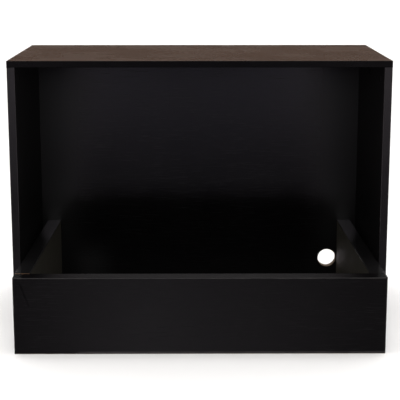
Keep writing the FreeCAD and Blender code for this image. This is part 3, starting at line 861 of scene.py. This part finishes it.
def drum(tree, radius, depth, top, sides=32):
    # a closed cylinder whose upper face is at the height top
    barrel = addNode(tree, "GeometryNodeMeshCylinder", {"Vertices": sides, "Radius": radius, "Depth": depth})
    return lifted(tree, barrel.outputs["Mesh"], minus(tree, top, times(tree, depth, 0.5)))


def slab(tree, length, width, depth, top, turnDegrees):
    extent = addNode(tree, "ShaderNodeCombineXYZ", {"X": length, "Y": width, "Z": depth}).outputs[0]
    cube = addNode(tree, "GeometryNodeMeshCube", {"Size": extent})
    return lifted(tree, cube.outputs["Mesh"], minus(tree, top, times(tree, depth, 0.5)), turnDegrees)


def chamferedDrum(tree, radius, depth, chamfer, sides=32):
    # one closed cylinder under the height 0, whose upper face is raised and narrowed to take its rim off
    plainDepth = minus(tree, depth, chamfer)
    inputs = {"Vertices": sides, "Radius": radius, "Depth": plainDepth}
    barrel = addNode(tree, "GeometryNodeMeshCylinder", inputs).outputs
    inputs = {"Mesh": barrel["Mesh"], "Selection": barrel["Top"], "Offset Scale": chamfer}
    raised = addNode(tree, "GeometryNodeExtrudeMesh", inputs).outputs
    narrower = mathNode(tree, "DIVIDE", minus(tree, radius, chamfer), radius)
    inputs = {"Geometry": raised["Mesh"], "Selection": raised["Top"], "Scale": narrower}
    rimmed = addNode(tree, "GeometryNodeScaleElements", inputs).outputs[0]
    return lifted(tree, rimmed, minus(tree, minus(tree, 0.0, chamfer), times(tree, plainDepth, 0.5)))


def joined(tree, *parts):
    join = tree.nodes.new("GeometryNodeJoinGeometry")
    for part in reversed(parts):
        tree.links.new(part, join.inputs[0])
    return join.outputs[0]


def cutFrom(tree, body, cutter):
    inputs = {"Mesh 1": body, "Mesh 2": cutter}
    return addNode(tree, "GeometryNodeMeshBoolean", inputs, {"operation": "DIFFERENCE"}).outputs["Mesh"]


def spread(tree, points, shape, material, outside):
    # stands the shape on every point, turned to that point's facing
    facing = addNode(tree, "GeometryNodeInputNamedAttribute", {"Name": "facing"}, {"data_type": "FLOAT_VECTOR"})
    turn = addNode(tree, "FunctionNodeAlignRotationToVector", {"Vector": facing.outputs[0]}, {"axis": "Z"})
    inputs = {"Points": points, "Instance": shape, "Rotation": turn.outputs[0]}
    copies = addNode(tree, "GeometryNodeInstanceOnPoints", inputs)
    real = addNode(tree, "GeometryNodeRealizeInstances", {"Geometry": copies.outputs[0]})
    inputs = {"Geometry": real.outputs[0], "Material": material}
    painted = addNode(tree, "GeometryNodeSetMaterial", inputs)
    tree.links.new(painted.outputs[0], outside.inputs["Geometry"])


def bake(cloud, tree, sizes, pieceName, nodeName):
    # runs the tree on the points and keeps the result as a plain piece that stands for the CAD node
    modifier = cloud.modifiers.new("fasteners", "NODES")
    modifier.node_group = tree
    for item in tree.interface.items_tree:
        if item.in_out == "INPUT" and item.name in sizes:
            modifier[item.identifier] = sizes[item.name]
    graph = bpy.context.evaluated_depsgraph_get()
    mesh = bpy.data.meshes.new_from_object(cloud.evaluated_get(graph), depsgraph=graph)
    cloud.modifiers.remove(modifier)
    bpy.data.objects.remove(cloud)
    mesh.name = pieceName
    piece = bpy.data.objects.new(pieceName, mesh)
    bpy.context.scene.collection.objects.link(piece)
    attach(piece, "root")
    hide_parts(nodeName)
    print(pieceName, "made:", len(mesh.polygons), "faces")


camDisc = {
    "Radius": 7.5 * mm,
    "Depth": 13.7 * mm,
    "Chamfer": 0.5 * mm,
    "Recess": 8.6 * mm,
    "Slot": 1.5 * mm,
    "Slot Depth": 3.2 * mm,
    "Ring Outside": 6.3 * mm,
    "Ring Inside": 5.3 * mm,
    "Ring Depth": 0.4 * mm,
    "Ring Core": 2.0 * mm,
}
recessTurn = 20  # degrees
cutterTops = (0.3 * mm, 0.2 * mm)  # how far the cutters stand out of a face, unequal so that none coincide


def makeCamDiscs(sizes):
    tree, get, outside = newTree("camDiscs", sizes)
    body = chamferedDrum(tree, get["Radius"], get["Depth"], get["Chamfer"])
    # the ring groove's cutter stands half out of the face, with a taller core taken from it
    ring = drum(tree, get["Ring Outside"], times(tree, get["Ring Depth"], 2.0), get["Ring Depth"])
    core = drum(tree, get["Ring Inside"], get["Ring Core"], times(tree, get["Ring Core"], 0.5))
    shape = cutFrom(tree, body, cutFrom(tree, ring, core))
    for length, width, top in zip(("Recess", "Slot"), ("Slot", "Recess"), cutterTops):
        shape = cutFrom(tree, shape, slab(tree, get[length], get[width], get["Slot Depth"], top, recessTurn))
    spread(tree, get["Geometry"], shape, zincMaterial, outside)
    bake(pointCloud("camPoints", faceSpots("cam_discs")), tree, sizes, "cam_disc_set", "cam_discs")


coverCap = {"Radius": 8.5 * mm, "Thickness": 1.2 * mm, "Chamfer": 0.45 * mm}


def makeCoverCaps(sizes):
    tree, get, outside = newTree("coverCaps", sizes)
    shape = chamferedDrum(tree, get["Radius"], get["Thickness"], get["Chamfer"], sides=40)
    spread(tree, get["Geometry"], shape, capMaterial, outside)
    cloud = pointCloud("capPoints", faceSpots("cam_cover_caps"))
    bake(cloud, tree, sizes, "cover_cap_set", "cam_cover_caps")


rearScrew = {
    "Head Radius": 5.0 * mm,
    "Head Length": 3.5 * mm,
    "Chamfer": 0.4 * mm,
    "Socket Radius": 2.3 * mm,
    "Socket Depth": 2.5 * mm,
    "Shank Radius": 3.5 * mm,
    "Thread Radius": 2.5 * mm,
    "Length": 50.0 * mm,
}


def makeRearScrews(sizes):
    tree, get, outside = newTree("rearScrews", sizes)
    panel = backRear - backFront
    head = chamferedDrum(tree, get["Head Radius"], get["Head Length"], get["Chamfer"])
    socketLength = plus(tree, get["Socket Depth"], cutterTops[0])
    head = cutFrom(tree, head, drum(tree, get["Socket Radius"], socketLength, cutterTops[0], sides=6))
    underHead = times(tree, get["Head Length"], -1.0)
    shankLength = minus(tree, panel, get["Head Length"])
    shank = drum(tree, get["Shank Radius"], shankLength, underHead, sides=20)
    thread = drum(tree, get["Thread Radius"], minus(tree, get["Length"], panel), -panel, sides=20)
    spread(tree, get["Geometry"], joined(tree, head, shank, thread), steelMaterial, outside)
    backward = Vector((0, 1, 0))
    spots = [(Vector((middle.x, backRear, middle.z)), backward) for middle, _ in loosePieces("rail_rear_screws")]
    bake(pointCloud("screwPoints", spots), tree, sizes, "rear_screw_set", "rail_rear_screws")


makeCamDiscs(camDisc)
makeCoverCaps(coverCap)
makeRearScrews(rearScrew)

# a pale floor that the boards don't mirror, because they mirror the dim studio instead
floorLook = {
    "grey": (0.90, 0.90, 0.905, 1),
    "pale": (0.93, 0.93, 0.935, 1),
    "cloudScale": 3.0,
    "roughness": 0.9,
    "specular": 0.1,
    "half": 60.0,
    "drop": 0.2 * mm,
}


def makeFloor(look):
    half = look["half"]
    mesh = bpy.data.meshes.new("floor")
    mesh.from_pydata([(-half, -half, 0), (half, -half, 0), (half, half, 0), (-half, half, 0)], [], [(0, 1, 2, 3)])
    material, tree, shader, place = newMaterial("pale_floor")
    colour = mixColour(tree, noise(tree, place, look["cloudScale"]), look["grey"], look["pale"])
    inputs = {"Base Color": colour, "Roughness": look["roughness"], "Specular IOR Level": look["specular"]}
    fill(tree, shader, inputs)
    mesh.materials.append(material)
    floor = bpy.data.objects.new("floor", mesh)
    bpy.context.scene.collection.objects.link(floor)
    floor.location.z = -look["drop"]
    floor.visible_glossy = False


studioGlow = {
    # brightness of the dim studio in mirror-like reflections, by the upward slope of the reflected ray
    "middle": [
        (-0.70, 0.30), (-0.40, 0.44), (-0.33, 0.47), (-0.29, 0.38), (-0.25, 0.12), (-0.20, 0.05), (-0.17, 0.16),
        (-0.145, 0.46), (-0.122, 1.36), (-0.10, 0.50), (-0.06, 0.20), (0.0, 0.10), (0.10, 0.05), (0.30, 0.06),
        (0.60, 0.24),
    ],
    "sides": [
        (-0.70, 0.10), (-0.40, 0.05), (-0.30, 0.05), (-0.21, 0.04), (-0.18, 0.06), (-0.15, 0.42),
        (-0.117, 2.90), (-0.08, 1.45), (-0.04, 0.30), (0.0, 0.10), (0.10, 0.05), (0.30, 0.06), (0.60, 0.24),
    ],
    "around": [
        (-0.90, 0.70), (-0.45, 1.10), (-0.20, 1.50), (-0.10, 1.30), (-0.03, 0.30), (0.0, 0.06), (0.10, 0.03),
        (0.30, 0.04), (0.60, 0.22),
    ],
    # how far aside of straight forward the sides and the surroundings take over
    "sidesFrom": (0.07, 0.19),
    "aroundFrom": (0.24, 0.50),
    # a brighter patch low in front, a little left of the middle
    "patchAside": -0.062,
    "patchHalf": 0.08,
    "patchLift": 1.9,
    "lowFrom": (-0.27, -0.22),
    "skyFrom": (-0.03, 0.04),
    "highTint": (1.00, 0.93, 1.22, 1),
    "sideTint": (1.10, 0.96, 1.03, 1),
    "lowTint": (1.05, 0.97, 1.06, 1),
    "skyTint": (1.12, 0.98, 0.84, 1),
    "seenWhite": (1.0, 1.0, 1.0, 1),  # the camera itself sees plain white all round
}


def profile(tree, value, stops):
    # a smooth curve of brightness through the given stops
    lowest, highest = stops[0][0], stops[-1][0]
    share = mathNode(tree, "DIVIDE", minus(tree, value, lowest), highest - lowest, True)
    node = addNode(tree, "ShaderNodeValToRGB", {0: share})
    node.color_ramp.interpolation = "EASE"
    elements = node.color_ramp.elements
    while len(elements) < len(stops):
        elements.new(0.5)
    for element, (position, level) in zip(elements, stops):
        element.position = (position - lowest) / (highest - lowest)
        element.color = (level, level, level, 1)
    return node.outputs[0]


def makeWorld(glow):
    world = bpy.data.worlds.new("studio")
    world.use_nodes = True
    bpy.context.scene.world = world
    tree = world.node_tree
    x, y, slope = split(tree, tree.nodes.new("ShaderNodeTexCoord").outputs["Generated"])
    forward = mathNode(tree, "MAXIMUM", times(tree, y, -1.0), 0.001)
    aside = mathNode(tree, "DIVIDE", x, forward)
    outer = ramp(tree, unsigned(tree, aside), *glow["sidesFrom"])
    level = mixColour(tree, outer, profile(tree, slope, glow["middle"]), profile(tree, slope, glow["sides"]))
    beyond = ramp(tree, unsigned(tree, aside), *glow["aroundFrom"])
    level = mixColour(tree, beyond, level, profile(tree, slope, glow["around"]))
    low = ramp(tree, slope, *glow["lowFrom"], 1.0, 0.0)
    fromPatch = unsigned(tree, minus(tree, aside, glow["patchAside"]))
    lift = ramp(tree, fromPatch, 0.0, glow["patchHalf"], glow["patchLift"], 1.0)
    lift = plus(tree, times(tree, minus(tree, lift, 1.0), low), 1.0)
    tint = mixColour(tree, low, mixColour(tree, outer, glow["highTint"], glow["sideTint"]), glow["lowTint"])
    tint = mixColour(tree, ramp(tree, slope, *glow["skyFrom"]), tint, glow["skyTint"])
    lit = mixColour(tree, 1.0, mixColour(tree, 1.0, level, tint, "MULTIPLY"), lift, "MULTIPLY")
    cameraRay = tree.nodes.new("ShaderNodeLightPath").outputs["Is Camera Ray"]
    colour = mixColour(tree, cameraRay, lit, glow["seenWhite"])
    fill(tree, tree.nodes["Background"], {"Color": colour, "Strength": 1.0})


sunLook = {"strength": 3.75, "degreesForward": 16.0, "degreesWide": 100.0}


def makeSun(look):
    data = bpy.data.lights.new("overhead_key", "SUN")
    data.energy = look["strength"]
    data.angle = math.radians(look["degreesWide"])
    sun = bpy.data.objects.new("overhead_key", data)
    sun.rotation_euler = (math.radians(-look["degreesForward"]), 0, 0)
    bpy.context.scene.collection.objects.link(sun)


softbox = {"place": Vector((0.0, -4.2, 1.90)), "aim": Vector((0.0, 0.2, 0.2)), "size": (2.6, 1.5), "power": 78.0}


def makeSoftbox(look):
    data = bpy.data.lights.new("front_softbox", "AREA")
    data.shape = "RECTANGLE"
    data.size, data.size_y = look["size"]
    data.energy = look["power"]
    light = bpy.data.objects.new("front_softbox", data)
    light.location = look["place"]
    light.rotation_mode = "QUATERNION"
    light.rotation_quaternion = (look["aim"] - look["place"]).to_track_quat("-Z", "Y")
    bpy.context.scene.collection.objects.link(light)
    # the flat top is spared, because it would mirror this light as a glare when seen from behind
    spared = bpy.data.collections.new("front_softbox_spares")
    for nodeName in topPieces:
        spared.objects.link(nodes[nodeName])
    light.light_linking.receiver_collection = spared
    for entry in spared.collection_objects:
        entry.light_linking.link_state = "EXCLUDE"


makeFloor(floorLook)
makeWorld(studioGlow)
makeSun(sunLook)
makeSoftbox(softbox)
bpy.context.scene.view_settings.view_transform = "Standard"
print("studio lit")
